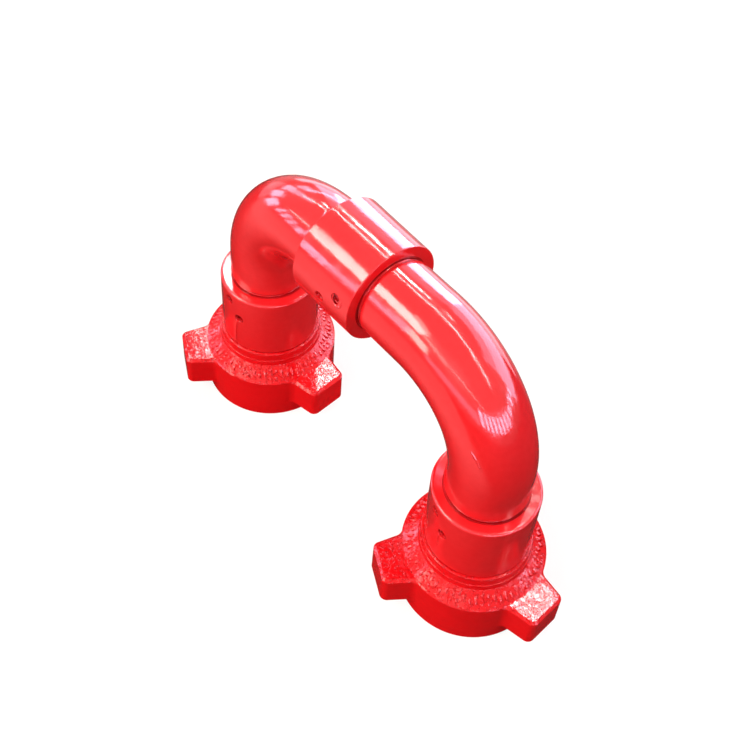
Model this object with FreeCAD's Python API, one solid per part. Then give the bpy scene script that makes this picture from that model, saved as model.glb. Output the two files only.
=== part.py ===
import FreeCAD, Part
import math
import os

V = FreeCAD.Vector
UP = V(0, 0, 1)

# Layout of the U, in millimetres. The left leg's axis is Z through the origin, the floor is z = 0.
leg_spacing = 336.8
run_height = 295.0
bend_r = 98.6
centre_mouth_x = 186.6

# Pipe and sleeve sections
bore_r = 22.25
tube_r = 40.9
sleeve_r = 52.4
sleeve_edge_r = 1.6
mouth_edge_r = 3.0
centre_mouth_edge_r = 1.0
end_sleeve_len = 77.5
centre_sleeve_len = 78.0
centre_sleeve_draft = 1.3
shoulder_r = 47.5
flare_len = 5.0
flare_r = 10.0

# Swivel: a male race turning in a female sleeve on two rows of balls
race_r = 41.0
race_clearance = 0.1
ball_r = 4.7625
ball_clearance = 0.06
ball_spacing_gap = 0.04
end_first_row = 12.3
centre_first_row = 17.5
row_pitch = 20.5
row_to_nose = 17.2
nose_chamfer = 2.0
nose_gap = 0.8
male_neck_r = 38.6
male_neck_out = 2.2
male_neck_blend = 3.2
mouth_chamfer = 0.5

# Seals inside each swivel
packing_r = 33.0
packing_bore_r = 23.4
packing_len = 9.0
packing_lip = 1.6
backup_len = 3.5
seal_fit = 0.05
seal_gap = 0.3
dust_seal_depth = 0.4
dust_seal_len = 3.0

# Ball plugs, which close the filling hole of each row
plug_r = 5.4
plug_fit = 0.05
plug_recess = 1.5
plug_edge = 0.5
hex_flats = 6.0
hex_depth = 3.0
plug_stagger = 15.5
left_plug_angle = -91.0
centre_plug_angle = -103.5
right_plug_angle = -105.5

# Wing nut
nut_r = 72.2
nut_body_h = 56.2
nut_h = 85.0
nut_cone_h = 12.3
hub_r = 55.2
hub_edge_r = 2.4
hub_collar_top = 75.2
hub_collar_out = 1.2
hub_collar_edge_r = 0.8
hub_foot_r = 1.5
nut_edge = 1.4
thread_r = 50.8
thread_depth = 3.8
thread_entry = 1.6
lip_z = 44.0
lug_reach = 98.4
lug_tip_w = 43.5
lug_root_w = 52.0
lug_base_z = 16.0
lug_corner_r = 7.5
lug_root_r = 9.0
lug_top_edge = 3.0
lug_base_edge = 3.0
lug_angles = (-116.0, 4.0, 124.0)

# Male union end under the nut
neck_r = 41.5
nut_clearance = 0.4
nut_rest_gap = 0.3
nut_float = 3.0
segment_groove_r = 36.5
segment_h = 13.0
segment_fit = 0.1
segment_clearance = 0.5
segment_split = 1.0
snap_ring_w = 2.2
snap_ring_h = 2.6
snap_ring_split = 14.0
snap_ring_fit = 0.05
union_nose_z = 9.0
union_nose_flat_r = 30.0
union_nose_len = 13.0
union_nose_bulge = 1.6

# How far a cutting shape runs past the face that it opens
cut_past = 1.0

# Sizes that follow from the ones above
socket_r = race_r + race_clearance
pitch_r = race_r + race_clearance / 2
groove_r = ball_r + ball_clearance
balls_per_row = int(math.pi / math.asin((ball_r + ball_spacing_gap / 2) / pitch_r))
bend_z = run_height - bend_r
shoulder_z = nut_h + nut_rest_gap
mouth_z = shoulder_z + end_sleeve_len
segment_r = thread_r - thread_depth - segment_clearance
segment_top = lip_z - nut_float
segment_low = segment_top - segment_h


def rounding(before, corner, after, radius):
    """Start, middle and end of the arc that rounds a corner between its two neighbours."""
    back = (before - corner).normalize()
    ahead = (after - corner).normalize()
    half = back.getAngle(ahead) / 2
    setback = radius / math.tan(half)
    middle = corner + (back + ahead).normalize() * (radius / math.sin(half) - radius)
    return corner + back * setback, middle, corner + ahead * setback


def turned(corners):
    """Solid turned about Z from its half section, given as (radius, height, corner radius)."""
    points = [V(r, 0, z) for r, z, _ in corners]
    arcs = []
    for i, (_, _, radius) in enumerate(corners):
        arcs.append(rounding(points[i - 1], points[i], points[(i + 1) % len(points)], radius))
    edges = []
    for i, (start, middle, end) in enumerate(arcs):
        if corners[i][2]:
            edges.append(Part.Arc(start, middle, end).toShape())
        edges.append(Part.LineSegment(end, arcs[(i + 1) % len(arcs)][0]).toShape())
    return Part.Face(Part.Wire(edges)).revolve(V(0, 0, 0), UP, 360)


def ring(outer, inner, low, height):
    """Plain ring about Z."""
    return turned([(inner, low, 0), (outer, low, 0), (outer, low + height, 0), (inner, low + height, 0)])


def union_of(first, *others):
    """One solid from pieces that touch or overlap, with its seams taken out."""
    return first.fuse(list(others)).removeSplitter()


def on_leg(x):
    """From a swivel's own frame to the mouth of the sleeve on the leg at x."""
    return FreeCAD.Placement(V(x, 0, mouth_z), FreeCAD.Rotation())


def on_run():
    """From a swivel's own frame to the mouth of the centre sleeve, which faces along X."""
    return FreeCAD.Placement(V(centre_mouth_x, 0, run_height), FreeCAD.Rotation(V(0, 1, 0), 90))


def placed(shape, placement):
    moved = shape.copy()
    moved.Placement = placement.multiply(shape.Placement)
    return moved


# Each swivel is described in its own frame: mouth at z = 0, socket below it, male end from above.
def spigot_len(first_row):
    return first_row + row_pitch + row_to_nose


def row_depths(first_row):
    return (first_row, first_row + row_pitch)


def ball_grooves(first_row):
    return [Part.makeTorus(pitch_r, groove_r, V(0, 0, -depth)) for depth in row_depths(first_row)]


def spigot(first_row, straight):
    """Male end without its bore: race, neck under the dust seal, then the tube up to the bend."""
    nose = -spigot_len(first_row)
    race_top = -(dust_seal_depth + dust_seal_len + seal_gap)
    tube_start = male_neck_out + male_neck_blend
    solid = turned([
        (0, nose, 0),
        (race_r - nose_chamfer, nose, 0),
        (race_r, nose + nose_chamfer, 0),
        (race_r, race_top, 0),
        (male_neck_r, race_top, 0),
        (male_neck_r, male_neck_out, male_neck_blend / 2),
        (tube_r, tube_start, male_neck_blend / 2),
        (tube_r, straight, 0),
        (0, straight, 0),
    ])
    return solid.cut(ball_grooves(first_row))


def socket_space(first_row, angle):
    """What is cut from a sleeve: the socket, packing seat, ball grooves and filling holes."""
    floor = -(spigot_len(first_row) + nose_gap)
    seat = -(spigot_len(first_row) + seal_gap + backup_len + packing_len)
    hollow = turned([
        (0, seat, 0),
        (packing_r, seat, 0),
        (packing_r, floor, 0),
        (socket_r, floor, 0),
        (socket_r, -mouth_chamfer, 0),
        (socket_r + mouth_chamfer, 0, 0),
        (socket_r + mouth_chamfer, cut_past, 0),
        (0, cut_past, 0),
    ])
    holes = []
    for row, depth in enumerate(row_depths(first_row)):
        hole = Part.makeCylinder(plug_r, sleeve_r, V(pitch_r, 0, -depth), V(1, 0, 0))
        hole.rotate(V(0, 0, 0), UP, angle + row * plug_stagger)
        holes.append(hole)
    return [hollow] + ball_grooves(first_row) + holes


def ball_row(depth):
    """Full complement of balls in one race."""
    balls = []
    for i in range(balls_per_row):
        centre = FreeCAD.Rotation(UP, 360 * i / balls_per_row).multVec(V(pitch_r, 0, -depth))
        balls.append(Part.makeSphere(ball_r, centre))
    return Part.makeCompound(balls)


def hexagon(low, height):
    """Hexagonal bar about Z, hex_flats wide."""
    corner = V(hex_flats / math.sqrt(3), 0, low)
    corners = [FreeCAD.Rotation(UP, 60 * i).multVec(corner) for i in range(7)]
    return Part.Face(Part.makePolygon(corners)).extrude(V(0, 0, height))


def ball_plugs(first_row, angle):
    """Two screwed plugs with hexagon sockets, just under the sleeve's surface."""
    inner = pitch_r + groove_r
    outer = sleeve_r - plug_recess
    plugs = []
    for row, depth in enumerate(row_depths(first_row)):
        body = turned([
            (0, inner, 0),
            (plug_r - plug_fit, inner, 0),
            (plug_r - plug_fit, outer - plug_edge, 0),
            (plug_r - plug_fit - plug_edge, outer, 0),
            (0, outer, 0),
        ])
        plug = body.cut(hexagon(outer - hex_depth, hex_depth + cut_past))
        plug.rotate(V(0, 0, 0), V(0, 1, 0), 90)
        plug.translate(V(0, 0, -depth))
        plug.rotate(V(0, 0, 0), UP, angle + row * plug_stagger)
        plugs.append(plug)
    return Part.makeCompound(plugs)


def seals(first_row):
    """Packing, its back-up ring against the male nose, and the dust seal in the mouth."""
    backup_top = -(spigot_len(first_row) + seal_gap)
    packing_top = backup_top - backup_len
    outer = packing_r - seal_fit
    packing = turned([
        (packing_bore_r + packing_lip, packing_top - packing_len, 0),
        (outer, packing_top - packing_len, 0),
        (outer, packing_top, 0),
        (packing_bore_r, packing_top, 0),
        (packing_bore_r, packing_top - packing_len + packing_lip, 0),
    ])
    backup = ring(outer, packing_bore_r, packing_top, backup_len)
    dust = ring(
        socket_r - seal_fit, male_neck_r + seal_gap, -(dust_seal_depth + dust_seal_len), dust_seal_len
    )
    return {"packing_seal": packing, "backup_ring": backup, "dust_seal": dust}


def bend(radius, x, towards):
    """Quarter turn of a round bar from the leg at x into the run, towards +X or -X."""
    disc = Part.Face(Part.Wire(Part.makeCircle(radius, V(x, 0, bend_z))))
    return disc.revolve(V(x + towards * bend_r, 0, bend_z), V(0, towards, 0), 90)


def flow_bore(x, towards, run_end):
    """Bore of an elbow, from below its leg's nose to run_end on the run."""
    leg = Part.makeCylinder(bore_r, bend_z - shoulder_z, V(x, 0, shoulder_z))
    start = x + towards * bend_r
    run = Part.makeCylinder(bore_r, abs(run_end - start), V(start, 0, run_height), V(towards, 0, 0))
    return [leg, bend(bore_r, x, towards), run]


def centre_sleeve():
    """Female end forged on the left elbow: flare, shoulder and sleeve, in the swivel's frame."""
    bend_end = bend_r - centre_mouth_x
    shoulder_out = sleeve_r + centre_sleeve_draft
    return turned([
        (0, bend_end, 0),
        (tube_r, bend_end, 0),
        (tube_r, -centre_sleeve_len - flare_len, flare_r),
        (shoulder_r, -centre_sleeve_len, 0),
        (shoulder_out - sleeve_edge_r, -centre_sleeve_len, 0),
        (shoulder_out, -centre_sleeve_len + sleeve_edge_r, 0),
        (sleeve_r, 0, centre_mouth_edge_r),
        (0, 0, 0),
    ])


def left_elbow():
    leg = placed(spigot(end_first_row, bend_z - mouth_z), on_leg(0))
    sleeve = placed(centre_sleeve(), on_run())
    body = union_of(leg, bend(tube_r, 0, 1), sleeve)
    spaces = [placed(s, on_run()) for s in socket_space(centre_first_row, centre_plug_angle)]
    return body.cut(flow_bore(0, 1, centre_mouth_x) + spaces)


def right_elbow():
    leg = placed(spigot(end_first_row, bend_z - mouth_z), on_leg(leg_spacing))
    run = placed(spigot(centre_first_row, leg_spacing - bend_r - centre_mouth_x), on_run())
    body = union_of(leg, bend(tube_r, leg_spacing, -1), run)
    return body.cut(flow_bore(leg_spacing, -1, centre_mouth_x - centre_sleeve_len))


def end_sub(angle):
    """Female swivel sleeve above, male union end with its nose and segment groove below."""
    body = turned([
        (0, union_nose_z, 0),
        (union_nose_flat_r, union_nose_z, 0),
        (neck_r - union_nose_bulge, union_nose_z + union_nose_len / 2, 0),
        (neck_r, union_nose_z + union_nose_len, 0),
        (neck_r, segment_low - segment_fit, 0),
        (segment_groove_r, segment_low - segment_fit, 0),
        (segment_groove_r, segment_top + segment_fit, 0),
        (neck_r, segment_top + segment_fit, 0),
        (neck_r, shoulder_z, 0),
        (sleeve_r, shoulder_z, sleeve_edge_r),
        (sleeve_r, mouth_z, mouth_edge_r),
        (0, mouth_z, 0),
    ])
    bore = Part.makeCylinder(bore_r, mouth_z, V(0, 0, 0))
    spaces = [placed(s, on_leg(0)) for s in socket_space(end_first_row, angle)]
    return body.cut([bore] + spaces)


def lug_corners():
    """The four rounded corners of a lug on +X in plan, counter-clockwise, each as three points."""
    taper = (lug_root_w - lug_tip_w) / 2 / (lug_reach - nut_r)
    tip = V(lug_reach, lug_tip_w / 2, 0)
    outward = V(taper, 1, 0).normalize()
    along = V(outward.y, -outward.x, 0)
    from_axis = nut_r + lug_root_r
    from_middle = tip.dot(outward) + lug_root_r
    centre = outward * from_middle + along * math.sqrt(from_axis**2 - from_middle**2)
    on_body = centre * (nut_r / from_axis)
    on_side = centre - outward * lug_root_r
    waist = centre + (on_body + on_side - centre * 2).normalize() * lug_root_r
    half = [(on_body, waist, on_side), rounding(on_side, tip, V(tip.x, -tip.y, 0), lug_corner_r)]
    mirrored = [[V(p.x, -p.y, 0) for p in arc] for arc in half]
    return mirrored + [arc[::-1] for arc in reversed(half)]


def nut_plan():
    """Plan of the round body with its three lugs, as one closed wire."""
    lugs = []
    for angle in lug_angles:
        turn = FreeCAD.Rotation(UP, angle)
        lugs.append([[turn.multVec(p) for p in arc] for arc in lug_corners()])
    edges = []
    for lug, following in zip(lugs, lugs[1:] + lugs[:1]):
        for arc, next_arc in zip(lug, lug[1:]):
            edges.append(Part.Arc(*arc).toShape())
            edges.append(Part.LineSegment(arc[2], next_arc[0]).toShape())
        edges.append(Part.Arc(*lug[-1]).toShape())
        start, end = lug[-1][2], following[0][0]
        edges.append(Part.Arc(start, (start + end).normalize() * nut_r, end).toShape())
    return Part.Wire(edges)


def lug_plate():
    """Slab that carries the lugs, bevelled above and, more deeply, below."""
    slab = Part.Face(nut_plan()).extrude(V(0, 0, nut_body_h - lug_base_z))
    slab.translate(V(0, 0, lug_base_z))
    for z, bevel in ((nut_body_h, lug_top_edge), (lug_base_z, lug_base_edge)):
        rim = [edge for edge in slab.Edges if edge.BoundBox.ZLength + abs(edge.CenterOfMass.z - z) < 1e-6]
        slab = slab.makeChamfer(bevel, rim)
    return slab


def wing_nut():
    """Three-lug nut: threaded socket below, lip and hub round the sub's neck above."""
    hub_foot = nut_body_h + nut_cone_h
    lip_r = neck_r + nut_clearance
    collar_r = hub_r + hub_collar_out
    body = turned([
        (thread_r + thread_entry, 0, 0),
        (nut_r - nut_edge, 0, 0),
        (nut_r, nut_edge, 0),
        (nut_r, nut_body_h - nut_edge, 0),
        (nut_r - nut_edge, nut_body_h, 0),
        (collar_r, hub_foot, hub_foot_r),
        (collar_r, hub_collar_top, hub_collar_edge_r),
        (hub_r, hub_collar_top, 0),
        (hub_r, nut_h, hub_edge_r),
        (lip_r, nut_h, 0),
        (lip_r, lip_z, 0),
        (thread_r, lip_z, 0),
        (thread_r, thread_entry, 0),
    ])
    inside = Part.makeCylinder((thread_r + nut_r) / 2, nut_body_h)
    return union_of(body, lug_plate().cut(inside))


def nut_segments():
    """Three segments in the sub's groove, which the nut's lip pulls on."""
    ring_low = segment_low + snap_ring_h
    whole = turned([
        (segment_groove_r + segment_fit, segment_low, 0),
        (segment_r - segment_fit, segment_low, 0),
        (segment_r - segment_fit, ring_low, 0),
        (segment_r - snap_ring_w, ring_low, 0),
        (segment_r - snap_ring_w, ring_low + snap_ring_h + segment_fit, 0),
        (segment_r - segment_fit, ring_low + snap_ring_h + segment_fit, 0),
        (segment_r - segment_fit, segment_top, 0),
        (segment_groove_r + segment_fit, segment_top, 0),
    ])
    slits = []
    for i in range(3):
        slit = Part.makeBox(segment_r, segment_split, segment_h, V(0, -segment_split / 2, segment_low))
        slit.rotate(V(0, 0, 0), UP, lug_angles[i])
        slits.append(slit)
    return whole.cut(slits)


def snap_ring():
    """Split ring round the segments."""
    ring_low = segment_low + snap_ring_h + segment_fit / 2
    inner = segment_r - snap_ring_w + snap_ring_fit
    whole = ring(segment_r - segment_fit, inner, ring_low, snap_ring_h)
    gap = Part.makeBox(segment_r, snap_ring_split, snap_ring_h, V(0, -snap_ring_split / 2, ring_low))
    return whole.cut(gap)


def swivel_inserts(name, first_row, angle, placement):
    """Balls, plugs and seals of one swivel."""
    pieces = {f"{name}_ball_plugs": ball_plugs(first_row, angle)}
    for label, depth in zip(("outer", "inner"), row_depths(first_row)):
        pieces[f"{name}_ball_row_{label}"] = ball_row(depth)
    for label, seal in seals(first_row).items():
        pieces[f"{name}_{label}"] = seal
    return {node: placed(shape, placement) for node, shape in pieces.items()}


def end_pieces(name, x, angle):
    """Sub, nut, segments and snap ring at the foot of one leg."""
    foot = FreeCAD.Placement(V(x, 0, 0), FreeCAD.Rotation())
    pieces = {
        f"{name}_end_sub": end_sub(angle),
        f"{name}_wing_nut": wing_nut(),
        f"{name}_nut_segments": nut_segments(),
        f"{name}_snap_ring": snap_ring(),
    }
    return {node: placed(shape, foot) for node, shape in pieces.items()}


nodes = {"left_elbow": left_elbow(), "right_elbow": right_elbow()}
for side, x, plug_angle in (("left", 0, left_plug_angle), ("right", leg_spacing, right_plug_angle)):
    nodes.update(end_pieces(side, x, plug_angle))
    nodes.update(swivel_inserts(side, end_first_row, plug_angle, on_leg(x)))
nodes.update(swivel_inserts("centre", centre_first_row, centre_plug_angle, on_run()))

os.makedirs("parts", exist_ok=True)
for node, shape in nodes.items():
    shape.exportStep(f"parts/{node}.step")
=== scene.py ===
import math

import bmesh
import bpy
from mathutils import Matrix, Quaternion, Vector


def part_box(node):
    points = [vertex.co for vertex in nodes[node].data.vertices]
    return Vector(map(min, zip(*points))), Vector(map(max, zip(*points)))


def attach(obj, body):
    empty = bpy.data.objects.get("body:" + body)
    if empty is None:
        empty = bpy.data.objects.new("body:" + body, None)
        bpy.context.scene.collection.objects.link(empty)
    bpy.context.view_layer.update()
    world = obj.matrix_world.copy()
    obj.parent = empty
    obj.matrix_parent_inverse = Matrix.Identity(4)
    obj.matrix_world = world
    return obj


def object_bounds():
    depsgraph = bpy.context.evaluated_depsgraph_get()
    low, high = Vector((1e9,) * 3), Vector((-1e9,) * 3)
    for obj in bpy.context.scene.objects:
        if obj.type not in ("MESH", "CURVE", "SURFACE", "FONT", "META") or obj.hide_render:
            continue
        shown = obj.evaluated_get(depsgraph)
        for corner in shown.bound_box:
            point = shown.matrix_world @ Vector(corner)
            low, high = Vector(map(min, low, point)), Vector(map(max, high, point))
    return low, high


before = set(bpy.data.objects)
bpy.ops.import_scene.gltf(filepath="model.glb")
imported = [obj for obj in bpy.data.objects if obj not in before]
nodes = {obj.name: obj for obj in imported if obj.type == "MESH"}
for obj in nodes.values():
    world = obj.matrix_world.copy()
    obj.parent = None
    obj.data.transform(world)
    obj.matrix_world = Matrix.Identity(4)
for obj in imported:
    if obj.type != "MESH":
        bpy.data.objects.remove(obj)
cad_low, cad_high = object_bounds()
leg_x = {"left": 0.0, "right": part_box("right_wing_nut")[0].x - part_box("left_wing_nut")[0].x}

# Tubes, sleeves and necks, in metres
TUBE_RADIUS = 0.0409
SLEEVE_RADIUS = 0.0524
MIDDLE_SLEEVE_RADIUS = 0.0527
NECK_RADIUS = 0.0386
BEND_RADIUS = 0.0986
BEND_HEIGHT = 0.1964
RUN_HEIGHT = 0.295
END_MOUTH = 0.1628
CENTRE_MOUTH = 0.1866

# Bare steel inside this radius of the leg's axis, up to this height
BARE_ELBOW = (0.0236, 0.19)
BARE_SUB = (0.042, 0.0845)
BARE_NUT = (0.0516, 0.044)
BARE_EDGE = 0.0002
BARE_TOP_EDGE = 0.0005

# Union thread
THREAD_ROOT = 0.0508
THREAD_CREST = 0.047
THREAD_PITCH = 0.00847
THREAD_START = 0.0025
THREAD_END = 0.0432
THREAD_ROOT_HALF = 0.0027
THREAD_CREST_HALF = 0.0014
THREAD_BURIED = 0.0004
THREAD_SPARE_TURNS = 0.6
THREAD_STEPS = 96
THREAD_FADE_STEPS = 40

# Raised bars on the nuts' cones: each pattern has places up the slope, with a bar's length at each
CONE_FOOT = (0.0708, 0, 0.0562)
CONE_TOP = (0.0564, 0, 0.0685)
MARK_COUNT = 68
MARK_HALF_WIDTH = 0.0014
MARK_TILT = 0.09
MARK_END_SLOPE = 0.0007
MARK_RINGS = ((1.0, -0.0002), (0.86, 0.0008), (0.58, 0.0014), (0.25, 0.0017))
MARK_PATTERNS = (
    ((0.5, 0.0084),),
    ((0.3, 0.0034), (0.68, 0.0034)),
    ((0.42, 0.0058),),
    ((0.26, 0.0026), (0.5, 0.0026), (0.74, 0.0026)),
    ((0.58, 0.006),),
)

# Paint runs, and the fillet of paint in each seam
RUN_COLUMNS = 8
RUN_BURIED = 0.0001
DROP_PLACE = 0.93
DROP_SPREAD = 0.07
SEAM_STEPS = 120
SEAM_SIDES = 8
SEAM_THICKNESS = 0.00062
SEAM_WAVE = 0.00016
SEAM_RIPPLE = 0.0001
SEAM_CLEARANCE = 0.00095

# Relief of the finishes, in metres
FINE_RIPPLE = 0.00007
BROAD_RIPPLE = 0.0004
CAST_SWELL = 0.0005
CAST_PITS = 0.0008
MACHINED_GRAIN = 0.00004
# Reach of the ambient occlusion that paints shade into hollows
SHADE_REACH = 0.005

# Colours, linear
RED = (0.78, 0.01, 0.014)
DEEP_RED = (0.66, 0.003, 0.004)
PALE_RED = (0.82, 0.017, 0.021)
CAST_RED = (0.75, 0.003, 0.006)
CAST_PALE = (0.8, 0.005, 0.008)
# Painted shade: dark red laid into hollows, seams and recesses where shade falls
SHADE_RED = (0.3, 0.0, 0.001)
STEEL = (0.36, 0.35, 0.34)
DARK_STEEL = (0.17, 0.165, 0.16)
BLUED_STEEL = (0.16, 0.17, 0.2)
DARK_BLUED_STEEL = (0.09, 0.09, 0.1)
BALL_STEEL = (0.62, 0.62, 0.63)
DARK_BALL_STEEL = (0.5, 0.5, 0.51)
BRASS = (0.72, 0.5, 0.2)
DARK_BRASS = (0.55, 0.36, 0.13)
RUBBER = (0.022, 0.022, 0.024)
DARK_RUBBER = (0.012, 0.012, 0.013)
WHITE = (1, 1, 1)

# Enamel on smooth pipe, and on a pitted casting
# open is the ambient occlusion level below which painted shade darkens the enamel
SMOOTH = {"pale": PALE_RED, "open": 0.75, "edge": 0.0007, "rough": 0.16, "specular": 0.7, "coat": 0.3}
CAST = {"pale": CAST_PALE, "open": 0.45, "edge": 0.00119, "rough": 0.14, "specular": 0.38, "coat": 0.1}


# Node helpers
def material(name):
    made = bpy.data.materials.new(name)
    made.use_nodes = True
    return made, made.node_tree


def add(tree, kind, inputs=None, **settings):
    """A node of one kind, with its settings and its inputs' values or links."""
    node = tree.nodes.new(kind)
    for key, value in settings.items():
        setattr(node, key, value)
    for key, value in (inputs or {}).items():
        if isinstance(value, bpy.types.NodeSocket):
            tree.links.new(value, node.inputs[key])
        else:
            node.inputs[key].default_value = value
    return node


def texture_place(tree, kind="Object"):
    return add(tree, "ShaderNodeTexCoord").outputs[kind]


def split(tree, vector):
    return add(tree, "ShaderNodeSeparateXYZ", {"Vector": vector}).outputs


def noise(tree, scale, detail=3.0, roughness=0.5):
    """Noise from 0 to 1, with its scale in spots a metre."""
    inputs = {"Vector": texture_place(tree), "Scale": scale, "Detail": detail, "Roughness": roughness}
    return add(tree, "ShaderNodeTexNoise", inputs).outputs["Fac"]


def span(tree, value, low, high, to_low=0.0, to_high=1.0):
    """Smooth step from one range to another."""
    inputs = {"Value": value, "From Min": low, "From Max": high, "To Min": to_low, "To Max": to_high}
    return add(tree, "ShaderNodeMapRange", inputs, interpolation_type="SMOOTHSTEP").outputs["Result"]


def maths(tree, operation, a, b):
    return add(tree, "ShaderNodeMath", {0: a, 1: b}, operation=operation).outputs["Value"]


def product(tree, a, b):
    return maths(tree, "MULTIPLY", a, b)


def blend_colour(tree, factor, a, b):
    made = add(tree, "ShaderNodeMix", {"Factor": factor}, data_type="RGBA")
    for socket, value in ((made.inputs[6], a), (made.inputs[7], b)):
        if isinstance(value, bpy.types.NodeSocket):
            tree.links.new(value, socket)
        else:
            socket.default_value = (*value, 1)
    return made.outputs[2]


def bumps(tree, layers, normal=None):
    """Chain of bump nodes: each layer is a height in metres and a texture from 0 to 1."""
    for height, texture in layers:
        inputs = {"Height": texture, "Distance": height, "Strength": 1.0}
        if normal is not None:
            inputs["Normal"] = normal
        normal = add(tree, "ShaderNodeBump", inputs).outputs["Normal"]
    return normal


# Finishes
def in_bore(tree, x, radius, top):
    """1 inside a radius of the upright axis at x and below a height, 0 elsewhere."""
    at = split(tree, texture_place(tree))
    across = maths(tree, "SUBTRACT", at["X"], x)
    flat = add(tree, "ShaderNodeCombineXYZ", {"X": across, "Y": at["Y"], "Z": 0.0}).outputs["Vector"]
    out = add(tree, "ShaderNodeVectorMath", {0: flat}, operation="LENGTH").outputs["Value"]
    within = span(tree, out, radius - BARE_EDGE, radius + BARE_EDGE, 1, 0)
    below = span(tree, at["Z"], top - BARE_TOP_EDGE, top + BARE_TOP_EDGE, 1, 0)
    return product(tree, within, below)


def enamel_colour(tree, base, skin, mottle):
    """Red that drifts and mottles, with painted shade darkening it in hollows."""
    drift = span(tree, noise(tree, 14, 2), 0.35, 0.65)
    colour = blend_colour(tree, product(tree, drift, 0.5), base, skin["pale"])
    colour = blend_colour(tree, product(tree, mottle, 0.22), colour, DEEP_RED)
    # Painted shade: ambient occlusion darkens hollows, creases and seams towards the dark shade red
    open_sky = add(tree, "ShaderNodeAmbientOcclusion", {"Distance": SHADE_REACH}, samples=4).outputs["AO"]
    hollow = span(tree, open_sky, 0.1, skin["open"], 0.75, 0.0)
    return blend_colour(tree, hollow, colour, SHADE_RED)


def enamel_relief(tree, skin):
    """Rounded edges under ripples of paint, and a casting's pits on its upper faces."""
    rounded = add(tree, "ShaderNodeBevel", {"Radius": skin["edge"]}, samples=4).outputs["Normal"]
    layers = [(FINE_RIPPLE, noise(tree, 260, 2)), (BROAD_RIPPLE, noise(tree, 38, 2))]
    if skin is CAST:
        upper = span(tree, split(tree, texture_place(tree, "Normal"))["Z"], 0.3, 0.6)
        pits = product(tree, span(tree, noise(tree, 300, 2), 0.52, 0.62, 1, 0), upper)
        layers += [(CAST_SWELL, noise(tree, 110, 1)), (CAST_PITS, pits)]
    return bumps(tree, layers, rounded)


def paint(name, skin=SMOOTH, bare_inside=None, base=RED):
    """Glossy red enamel. bare_inside leaves a bore as bare steel."""
    made, tree = material(name)
    shader = tree.nodes["Principled BSDF"]
    mottle = span(tree, noise(tree, 160, 4, 0.6), 0.3, 0.7)
    colour = enamel_colour(tree, base, skin, mottle)
    rough = span(tree, noise(tree, 90, 3), 0.3, 0.7, 0.1, skin["rough"])
    if bare_inside:
        inside = in_bore(tree, *bare_inside)
        colour = blend_colour(tree, inside, colour, blend_colour(tree, mottle, STEEL, DARK_STEEL))
        rough = maths(tree, "ADD", rough, product(tree, inside, 0.22))
        tree.links.new(product(tree, inside, 0.9), shader.inputs["Metallic"])
    tree.links.new(colour, shader.inputs["Base Color"])
    tree.links.new(rough, shader.inputs["Roughness"])
    tree.links.new(enamel_relief(tree, skin), shader.inputs["Normal"])
    shader.inputs["Specular IOR Level"].default_value = skin["specular"]
    shader.inputs["Coat Weight"].default_value = skin["coat"]
    shader.inputs["Coat Roughness"].default_value = 0.06
    return made


def metal(name, light, dark, rough_low, rough_high, scale=220, metallic=1.0):
    """Machined or ground metal, or rubber, with faint colour drift and fine marks."""
    made, tree = material(name)
    shader = tree.nodes["Principled BSDF"]
    drift = span(tree, noise(tree, scale, 4, 0.6), 0.3, 0.7)
    tree.links.new(blend_colour(tree, drift, light, dark), shader.inputs["Base Color"])
    rough = span(tree, noise(tree, scale * 2.5, 3), 0.3, 0.7, rough_low, rough_high)
    tree.links.new(rough, shader.inputs["Roughness"])
    tree.links.new(bumps(tree, [(MACHINED_GRAIN, noise(tree, scale * 4, 2))]), shader.inputs["Normal"])
    shader.inputs["Metallic"].default_value = metallic
    return made


pipe_paint = {}
for side, x in leg_x.items():
    pipe_paint[f"{side}_elbow"] = paint(f"paint_{side}_elbow", SMOOTH, (x, *BARE_ELBOW))
    pipe_paint[f"{side}_end_sub"] = paint(f"paint_{side}_sub", SMOOTH, (x, *BARE_SUB))
    pipe_paint[f"{side}_wing_nut"] = paint(f"paint_{side}_nut", CAST, (x, *BARE_NUT), CAST_RED)
# Painted shade: the plugs in their recesses and the recessed dust seals are dark red for the shade in them
shade_paint = paint("paint_plugs", base=SHADE_RED)
mark_paint = paint("paint_marks", base=CAST_PALE)
run_paint = paint("paint_runs")
thread_steel = metal("steel_threads", STEEL, DARK_STEEL, 0.3, 0.5)
ball_steel = metal("steel_balls", BALL_STEEL, DARK_BALL_STEEL, 0.06, 0.12, 90)

finishes = (
    # Painted shade in the plug recesses
    ("ball_plugs", shade_paint),
    ("nut_segments", metal("steel_segments", STEEL, DARK_STEEL, 0.3, 0.45)),
    ("snap_ring", metal("steel_snap_ring", BLUED_STEEL, DARK_BLUED_STEEL, 0.25, 0.4)),
    ("ball_row_outer", ball_steel),
    ("ball_row_inner", ball_steel),
    ("backup_ring", metal("brass_backup_rings", BRASS, DARK_BRASS, 0.2, 0.35)),
    ("packing_seal", metal("rubber_seals", RUBBER, DARK_RUBBER, 0.45, 0.65, 300, 0.0)),
    # Painted shade in the seam over the dust seal
    ("dust_seal", shade_paint),
)
for name, obj in nodes.items():
    finish = pipe_paint.get(name)
    for ending, made in finishes:
        if name.endswith(ending):
            finish = made
    obj.data.materials.clear()
    obj.data.materials.append(finish)


# Mesh helpers
def skin_rows(mesh, rows, closed=False):
    """Faces between each row of vertices and the next; closed joins each row's two ends."""
    columns = len(rows[0])
    for a, b in zip(rows, rows[1:]):
        for k in range(columns if closed else columns - 1):
            n = (k + 1) % columns
            mesh.faces.new((a[k], b[k], b[n], a[n]))


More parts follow.
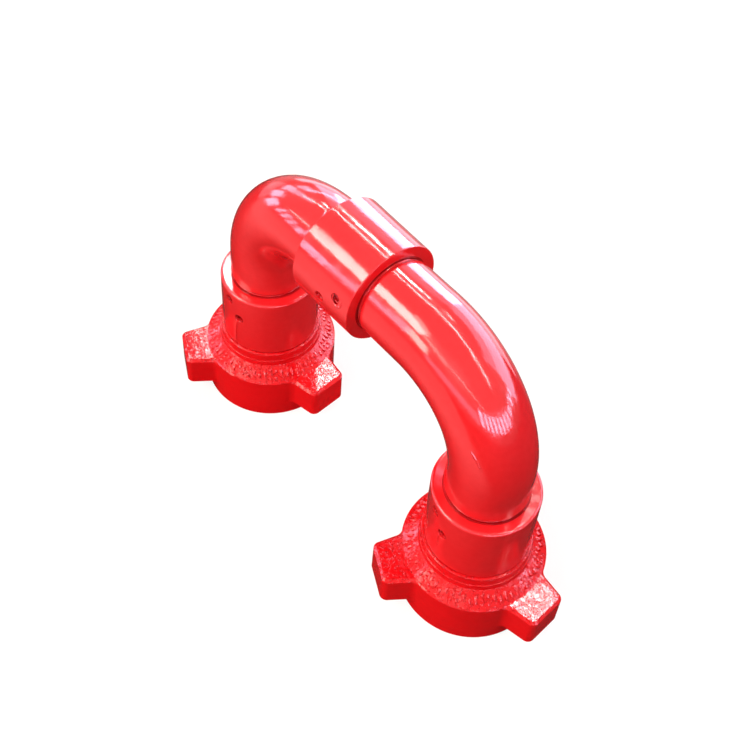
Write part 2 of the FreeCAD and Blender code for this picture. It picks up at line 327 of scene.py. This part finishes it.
def piece(name, mesh, finish, body, smooth=True):
    """A new mesh object that rides on a body."""
    bmesh.ops.recalc_face_normals(mesh, faces=mesh.faces)
    data = bpy.data.meshes.new(name)
    mesh.to_mesh(data)
    mesh.free()
    data.materials.append(finish)
    for polygon in data.polygons:
        polygon.use_smooth = smooth
    obj = bpy.data.objects.new(name, data)
    bpy.context.scene.collection.objects.link(obj)
    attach(obj, body)


# Threads and cast marks of the nuts
def union_thread(side, x):
    """Trapezoid thread wound inside the nut, run out at both ends."""
    mesh = bmesh.new()
    turns = (THREAD_END - THREAD_START) / THREAD_PITCH - THREAD_SPARE_TURNS
    count = int(turns * THREAD_STEPS)
    root = THREAD_ROOT + THREAD_BURIED
    rows = []
    for i in range(count + 1):
        turn = 2 * math.pi * i / THREAD_STEPS
        fade = min(1, i / THREAD_FADE_STEPS, (count - i) / THREAD_FADE_STEPS)
        crest = THREAD_ROOT + (THREAD_CREST - THREAD_ROOT) * fade
        z = THREAD_START + THREAD_ROOT_HALF + THREAD_PITCH * i / THREAD_STEPS
        row = []
        for r, side_sign, half in (
            (root, -1, THREAD_ROOT_HALF),
            (crest, -1, THREAD_CREST_HALF),
            (crest, 1, THREAD_CREST_HALF),
            (root, 1, THREAD_ROOT_HALF),
        ):
            along = side_sign * half * (0.3 + 0.7 * fade)
            row.append(mesh.verts.new((x + r * math.cos(turn), r * math.sin(turn), z + along)))
        rows.append(row)
    skin_rows(mesh, rows)
    mesh.faces.new(rows[0][::-1])
    mesh.faces.new(rows[-1])
    piece(f"{side}_union_thread", mesh, thread_steel, f"{side}_nut", smooth=False)


def raised_bar(mesh, x, turn, place, length):
    """Bar that lies up the cone's slope, higher at its lower end."""
    foot, top = Vector(CONE_FOOT), Vector(CONE_TOP)
    up_slope = (top - foot).normalized()
    out = Vector((up_slope.z, 0, -up_slope.x))
    sideways = Vector((0, 1, 0))
    middle = foot + (top - foot) * place
    rings = []
    for shrink, height in MARK_RINGS:
        ring = []
        for a, b in ((-1, -1), (1, -1), (1, 1), (-1, 1)):
            along = up_slope * a * (length / 2 - MARK_END_SLOPE * (1 - shrink))
            across = sideways * b * MARK_HALF_WIDTH * shrink
            lift = height - a * length * MARK_TILT * (height > 0)
            point = middle + along + across + out * lift
            ring.append(mesh.verts.new(turn @ point + Vector((x, 0, 0))))
        rings.append(ring)
    skin_rows(mesh, rings, closed=True)
    mesh.faces.new(rings[-1])


def cast_marks(side, x):
    """Ring of short raised bars round one nut, in five patterns by turns."""
    mesh = bmesh.new()
    for k in range(MARK_COUNT):
        turn = Quaternion((0, 0, 1), 2 * math.pi * k / MARK_COUNT)
        pattern = MARK_PATTERNS[k * 3 % len(MARK_PATTERNS) - (k % 11 == 0)]
        for place, length in pattern:
            raised_bar(mesh, x, turn, place, length)
    piece(f"{side}_cast_marks", mesh, mark_paint, f"{side}_nut")


for make in (union_thread, cast_marks):
    for side, x in leg_x.items():
        make(side, x)


# Surfaces that the runs and the seams lie on: each gives a point and its outward direction
def on_upright(x, radius, degrees, z):
    """Upright cylinder at x."""
    turn = math.radians(degrees)
    out = Vector((math.cos(turn), math.sin(turn), 0))
    return Vector((x, 0, z)) + out * radius, out


def on_level(radius, degrees, x):
    """Cylinder along the run."""
    turn = math.radians(degrees)
    out = Vector((0, math.cos(turn), math.sin(turn)))
    return Vector((x, 0, RUN_HEIGHT)) + out * radius, out


def on_left_sleeve(degrees, z):
    return on_upright(leg_x["left"], SLEEVE_RADIUS, degrees, z)


def on_right_sleeve(degrees, z):
    return on_upright(leg_x["right"], SLEEVE_RADIUS, degrees, z)


def on_middle_sleeve(degrees, x):
    return on_level(MIDDLE_SLEEVE_RADIUS, degrees, x)


def on_right_bend(along, around):
    """Right bend, by its two angles."""
    bend, turn = math.radians(along), math.radians(around)
    away = Vector((math.cos(bend), 0, math.sin(bend)))
    middle = Vector((leg_x["right"] - BEND_RADIUS, 0, BEND_HEIGHT)) + away * BEND_RADIUS
    out = away * math.cos(turn) + Vector((0, math.sin(turn), 0))
    return middle + out * TUBE_RADIUS, out


def at_left_mouth(radius, degrees, beyond):
    return on_upright(leg_x["left"], radius, degrees, END_MOUTH + beyond)


def at_right_mouth(radius, degrees, beyond):
    return on_upright(leg_x["right"], radius, degrees, END_MOUTH + beyond)


def at_middle_mouth(radius, degrees, beyond):
    return on_level(radius, degrees, CENTRE_MOUTH + beyond)


# Runs of paint, and the fillet of paint in each seam
def spline_value(p, q, r, s, t):
    """Catmull-Rom value at t from q to r, with p before them and s after."""
    squared = (2 * p - 5 * q + 4 * r - s) * t**2
    cubed = (3 * q - p - 3 * r + s) * t**3
    return 0.5 * (2 * q + (r - p) * t + squared + cubed)


def smooth_path(surface, corners, steps):
    """Curve over a surface through a few places on it."""
    ends = [corners[0], *corners, corners[-1]]
    places = []
    for k in range(len(corners) - 1):
        around = list(zip(*ends[k : k + 4]))
        for i in range(steps):
            places.append([spline_value(*four, i / steps) for four in around])
    places.append(corners[-1])
    return [surface(*place) for place in places]


def run_size(t, drop):
    """Size of a run at t of its length: rounded ends, and a drop near the lower one."""
    swell = 1 + drop * math.exp(-(((t - DROP_PLACE) / DROP_SPREAD) ** 2))
    return swell * math.sqrt(max(0.0, 1 - abs(2 * t - 1) ** 8))


def paint_run(name, path, body, half_width, height, drop=0.0):
    """Raised run of paint along points with their outward directions."""
    mesh = bmesh.new()
    rows = []
    last = len(path) - 1
    for i, (point, out) in enumerate(path):
        ahead = path[min(i + 1, last)][0] - path[max(i - 1, 0)][0]
        side = ahead.cross(out).normalized()
        size = run_size(i / last, drop)
        row = []
        for k in range(RUN_COLUMNS + 1):
            u = 2 * k / RUN_COLUMNS - 1
            lift = height * size * math.cos(u * math.pi / 2) - RUN_BURIED
            row.append(mesh.verts.new(point + side * u * half_width * size + out * lift))
        rows.append(row)
    skin_rows(mesh, rows)
    piece(name, mesh, run_paint, body)


def seam_paint(name, mouth, body, phase):
    """Uneven fillet of paint round a male neck, just clear of the sleeve's mouth."""
    mesh = bmesh.new()
    rows = []
    for i in range(SEAM_STEPS):
        turn = 2 * math.pi * i / SEAM_STEPS
        wave = SEAM_WAVE * math.sin(3 * turn + phase)
        ripple = SEAM_RIPPLE * math.sin(11 * turn + 2 * phase)
        thick = SEAM_THICKNESS + wave + ripple
        row = []
        for k in range(SEAM_SIDES):
            roll = 2 * math.pi * k / SEAM_SIDES
            radius = NECK_RADIUS + thick * math.cos(roll)
            beyond = SEAM_CLEARANCE + thick * math.sin(roll)
            row.append(mesh.verts.new(mouth(radius, math.degrees(turn), beyond)[0]))
        rows.append(row)
    skin_rows(mesh, rows + rows[:1], closed=True)
    piece(name, mesh, run_paint, body)


left_run = smooth_path(on_left_sleeve, [(-79, 0.1245), (-80.5, 0.111), (-81.5, 0.096), (-81, 0.0865)], 12)
right_run = smooth_path(on_right_sleeve, [(-93.5, 0.1255), (-94.5, 0.117), (-94, 0.107)], 12)
hook_corners = [(163, 0.1655), (170, 0.1662), (173.5, 0.171), (171, 0.1765), (164, 0.1772)]
hook = smooth_path(on_middle_sleeve, hook_corners, 8)
streak = smooth_path(on_right_bend, [(31, -64.5), (27.5, -62), (24.5, -60), (21.3, -57.7)], 10)
paint_run("left_sleeve_run", left_run, "left_end", 0.0011, 0.0009, 0.5)
paint_run("right_sleeve_run", right_run, "right_end", 0.001, 0.0008, 0.4)
paint_run("centre_sleeve_run", hook, "left_elbow", 0.0009, 0.0008)
paint_run("right_elbow_run", streak, "right_elbow", 0.0011, 0.0008, 0.3)

seam_paint("left_seam_paint", at_left_mouth, "left_elbow", 0.4)
seam_paint("right_seam_paint", at_right_mouth, "right_elbow", 1.9)
seam_paint("centre_seam_paint", at_middle_mouth, "right_elbow", 3.1)


# Camera, at the photograph's place
CAMERA_AT = Vector((0.6888, -0.4946, 1.1004))
LOOK_AT = Vector((0.0369, 0.1162, 0.15))
CAMERA_ROLL = math.radians(4.49)
SENSOR_WIDTH = 36
FOCAL_LENGTH = 56.67
FRAME_SHIFT = -0.1667


def photo_camera():
    data = bpy.data.cameras.new("camera")
    data.sensor_width = SENSOR_WIDTH
    data.lens = FOCAL_LENGTH
    data.shift_y = FRAME_SHIFT
    camera = bpy.data.objects.new("camera", data)
    camera.location = CAMERA_AT
    camera.rotation_mode = "QUATERNION"
    facing = (LOOK_AT - CAMERA_AT).to_track_quat("-Z", "Y")
    camera.rotation_quaternion = facing @ Quaternion((0, 0, 1), CAMERA_ROLL)
    bpy.context.scene.collection.objects.link(camera)
    bpy.context.scene.camera = camera


photo_camera()

# Lights: their places and colours
CEILING = 2.5
RUN_MIDDLE = (0.2, 0.0, 0.3)
PART_MIDDLE = (0.17, 0, 0.15)
WARM = (1.0, 0.95, 0.86)
WARMER = (1.0, 0.93, 0.82)
PINK = (1.0, 0.85, 1.0)
DEEP_PINK = (1.0, 0.68, 0.95)


def area(name, at, towards, width, height, radiance, colour=WHITE, rays="all"):
    """Area light by its radiance; rays may be all, or diffuse or glossy alone."""
    light = bpy.data.lights.new(name, "AREA")
    light.shape = "RECTANGLE"
    light.size = width
    light.size_y = height
    light.energy = radiance * math.pi * width * height
    light.color = colour
    obj = bpy.data.objects.new(name, light)
    obj.location = at
    obj.rotation_mode = "QUATERNION"
    obj.rotation_quaternion = (Vector(towards) - Vector(at)).to_track_quat("-Z", "Y")
    obj.visible_camera = False
    obj.visible_diffuse = rays != "glossy"
    obj.visible_glossy = rays != "diffuse"
    bpy.context.scene.collection.objects.link(obj)
    return obj


def overhead(name, at, width, height, radiance, turn=0, colour=WHITE, rays="glossy"):
    """Level light that faces down, turned about the upright."""
    pane = area(name, at, (*at[:2], 0), width, height, radiance, colour, rays)
    pane.rotation_quaternion = Quaternion((0, 0, 1), math.radians(turn)) @ pane.rotation_quaternion


def on_bearing(name, degrees, low, high, width, radiance, distance=4.2, rays="glossy"):
    """Upright light on a bearing round the part, sized by the angles at which the run sees it."""
    turn = math.radians(degrees)
    rises = [RUN_MIDDLE[2] + distance * math.tan(math.radians(rise)) for rise in (low, high)]
    x = RUN_MIDDLE[0] + distance * math.cos(turn)
    at = Vector((x, distance * math.sin(turn), sum(rises) / 2))
    across = 2 * distance * math.tan(math.radians(width / 2))
    area(name, at, (*RUN_MIDDLE[:2], at.z), across, rises[1] - rises[0], radiance, DEEP_PINK, rays)


# Ceiling tubes and panes, soft boxes, cards and fills
overhead("tube_far", (-0.25, 0.56, CEILING), 6.4, 0.06, 30, rays="all")
overhead("tube_near", (3.0, -2.8, CEILING), 5.0, 0.06, 12, rays="all")
overhead("tube_left", (-3.2, -2.6, CEILING), 2.8, 0.12, 18, rays="all")
area("softbox_near", (-0.6, -2.2, 2.35), (-0.2, -1.0, 0), 2.2, 0.7, 17, WARM, "diffuse")
overhead("skylight", (-1.15, -2.35, CEILING), 1.3, 1.5, 11, -30, WARM)
overhead("skylight_glow", (-0.95, -2.25, CEILING), 0.9, 2.1, 4, -30, WARM)
overhead("skylight_tail", (0.25, -3.0, CEILING), 1.6, 0.5, 3, -30, WARM)
overhead("lamp_right", (-0.14, 1.15, CEILING), 0.23, 0.17, 70)
overhead("lamp_left", (-4.5, 3.9, 8.0), 0.65, 0.58, 60)
overhead("lamp_end", (-1.765, 1.03, CEILING), 0.3, 0.11, 45, -43)
area("softbox_skirt", (-1.73, -6.7, 2.9), (0.2, 0, 0.3), 2.2, 1.9, 8, WARMER)
area("card_back", (-0.6, 1.0, 0.16), (-0.6, 0, 0.16), 2.0, 0.36, 2.2, PINK, "glossy")
area("card_end", (-1.3, 0.15, 0.2), (0, 0.1, 0.2), 0.6, 0.36, 0.7, PINK, "glossy")
area("fill_far", (2.2, 1.8, 1.4), PART_MIDDLE, 1.5, 1.5, 2.5, rays="diffuse")
area("fill_near", (1.2, -2.0, 1.9), PART_MIDDLE, 1.5, 1.5, 5.2, rays="diffuse")

# Walls, panes and windows round the part, by their bearings
for i, radiance in enumerate((5, 5, 5.5, 6, 6, 15, 12, 4)):
    bearing = 56 + 11.5 * i
    on_bearing(f"wall_{i}", bearing, 2.5, 29, 11.4, radiance, 2.6)
    on_bearing(f"wall_glow_{i}", bearing, 3, 26, 11.4, 4.5, rays="diffuse")
    on_bearing(f"haze_{i}", bearing, 30, 44, 11.4, 2.6 if i < 5 else 1.3)
for i in range(12):
    foot, radiance = (11, 11) if i > 7 else (5.5, 12)
    on_bearing(f"pane_{i}", -40 + 8 * i, foot, 18.5, 4.5, radiance)
on_bearing("strip_near", -72, 5, 15, 52, 2)
on_bearing("skirt_end", -117, 10, 27, 6, 4)
for i in range(4):
    on_bearing(f"transom_{i}", 126 + 9 * i, 19 + i, 22 + i, 8.5, 9)
for i, radiance in enumerate((4, 5, 6, 7)):
    on_bearing(f"window_{i}", 155 + 14 * i, 13 - 5 * i, 23 - 4 * i, 11, radiance, 6)
on_bearing("window_tall", 171, 19, 42, 9, 4, 6)
for i in range(5):
    on_bearing(f"blind_{i}", 210 + 7 * i, 4, 17, 3.2, 9)

# Floor and world
FLOOR_HALF = 6
FLOOR_GAP = 0.0002
FLOOR_TAN = (0.23, 0.205, 0.18)
FLOOR_PALE = (0.25, 0.22, 0.195)
FLOOR_REFLECTED = (0.02, 0.017, 0.014)
FLOOR_WHITE = 0.82
AMBIENT = 0.13


def floor_finish():
    """Pale matt that takes shadows, white for the camera, and dark in reflections except for painted pools
    of light that glow there.
    """
    made, tree = material("floor")
    shader = tree.nodes["Principled BSDF"]
    path = add(tree, "ShaderNodeLightPath").outputs
    tone = span(tree, noise(tree, 3, 2), 0.3, 0.7)
    pale = blend_colour(tree, tone, FLOOR_TAN, FLOOR_PALE)
    colour = blend_colour(tree, product(tree, path["Is Glossy Ray"], 0.95), pale, FLOOR_REFLECTED)
    tree.links.new(colour, shader.inputs["Base Color"])
    shader.inputs["Roughness"].default_value = 0.9
    shader.inputs["Specular IOR Level"].default_value = 0.1
    # Painted pools of light: a near and a far patch of floor glow, seen only in reflections
    at = split(tree, texture_place(tree))
    near_y, near_x = span(tree, at["Y"], -0.1, -0.4, 0.0, 0.6), span(tree, at["X"], 0.45, 0.3)
    far_y, far_x = span(tree, at["Y"], 0.2, 0.5, 0.0, 0.45), span(tree, at["X"], 0.25, -0.1)
    glow_pools = maths(tree, "ADD", product(tree, near_y, near_x), product(tree, far_y, far_x))
    seen = maths(tree, "MAXIMUM", path["Is Camera Ray"], path["Is Transmission Ray"])
    mirrored = product(tree, path["Is Glossy Ray"], glow_pools)
    strength = product(tree, maths(tree, "MAXIMUM", seen, mirrored), FLOOR_WHITE)
    shader.inputs["Emission Color"].default_value = (1, 1, 1, 1)
    tree.links.new(strength, shader.inputs["Emission Strength"])
    return made


def floor_sheet():
    mesh = bmesh.new()
    bmesh.ops.create_grid(mesh, x_segments=8, y_segments=8, size=FLOOR_HALF)
    data = bpy.data.meshes.new("floor")
    mesh.to_mesh(data)
    mesh.free()
    data.materials.append(floor_finish())
    floor = bpy.data.objects.new("floor", data)
    floor.location = (*PART_MIDDLE[:2], cad_low.z - FLOOR_GAP)
    bpy.context.scene.collection.objects.link(floor)


def studio_world():
    """White for the camera, a sky that brightens upwards for reflections, and dim for the rest."""
    world = bpy.data.worlds.new("studio")
    world.use_nodes = True
    bpy.context.scene.world = world
    tree = world.node_tree
    background = tree.nodes["Background"]
    background.inputs["Color"].default_value = (1, 1, 1, 1)
    height = split(tree, texture_place(tree, "Generated"))["Z"]
    sky = span(tree, height, 0.0, 0.5, 0.3, 0.58)
    path = add(tree, "ShaderNodeLightPath").outputs
    mirrored = product(tree, path["Is Glossy Ray"], sky)
    seen = maths(tree, "MAXIMUM", path["Is Camera Ray"], mirrored)
    tree.links.new(maths(tree, "MAXIMUM", seen, AMBIENT), background.inputs["Strength"])


floor_sheet()
studio_world()
bpy.context.scene.view_settings.view_transform = "Standard"
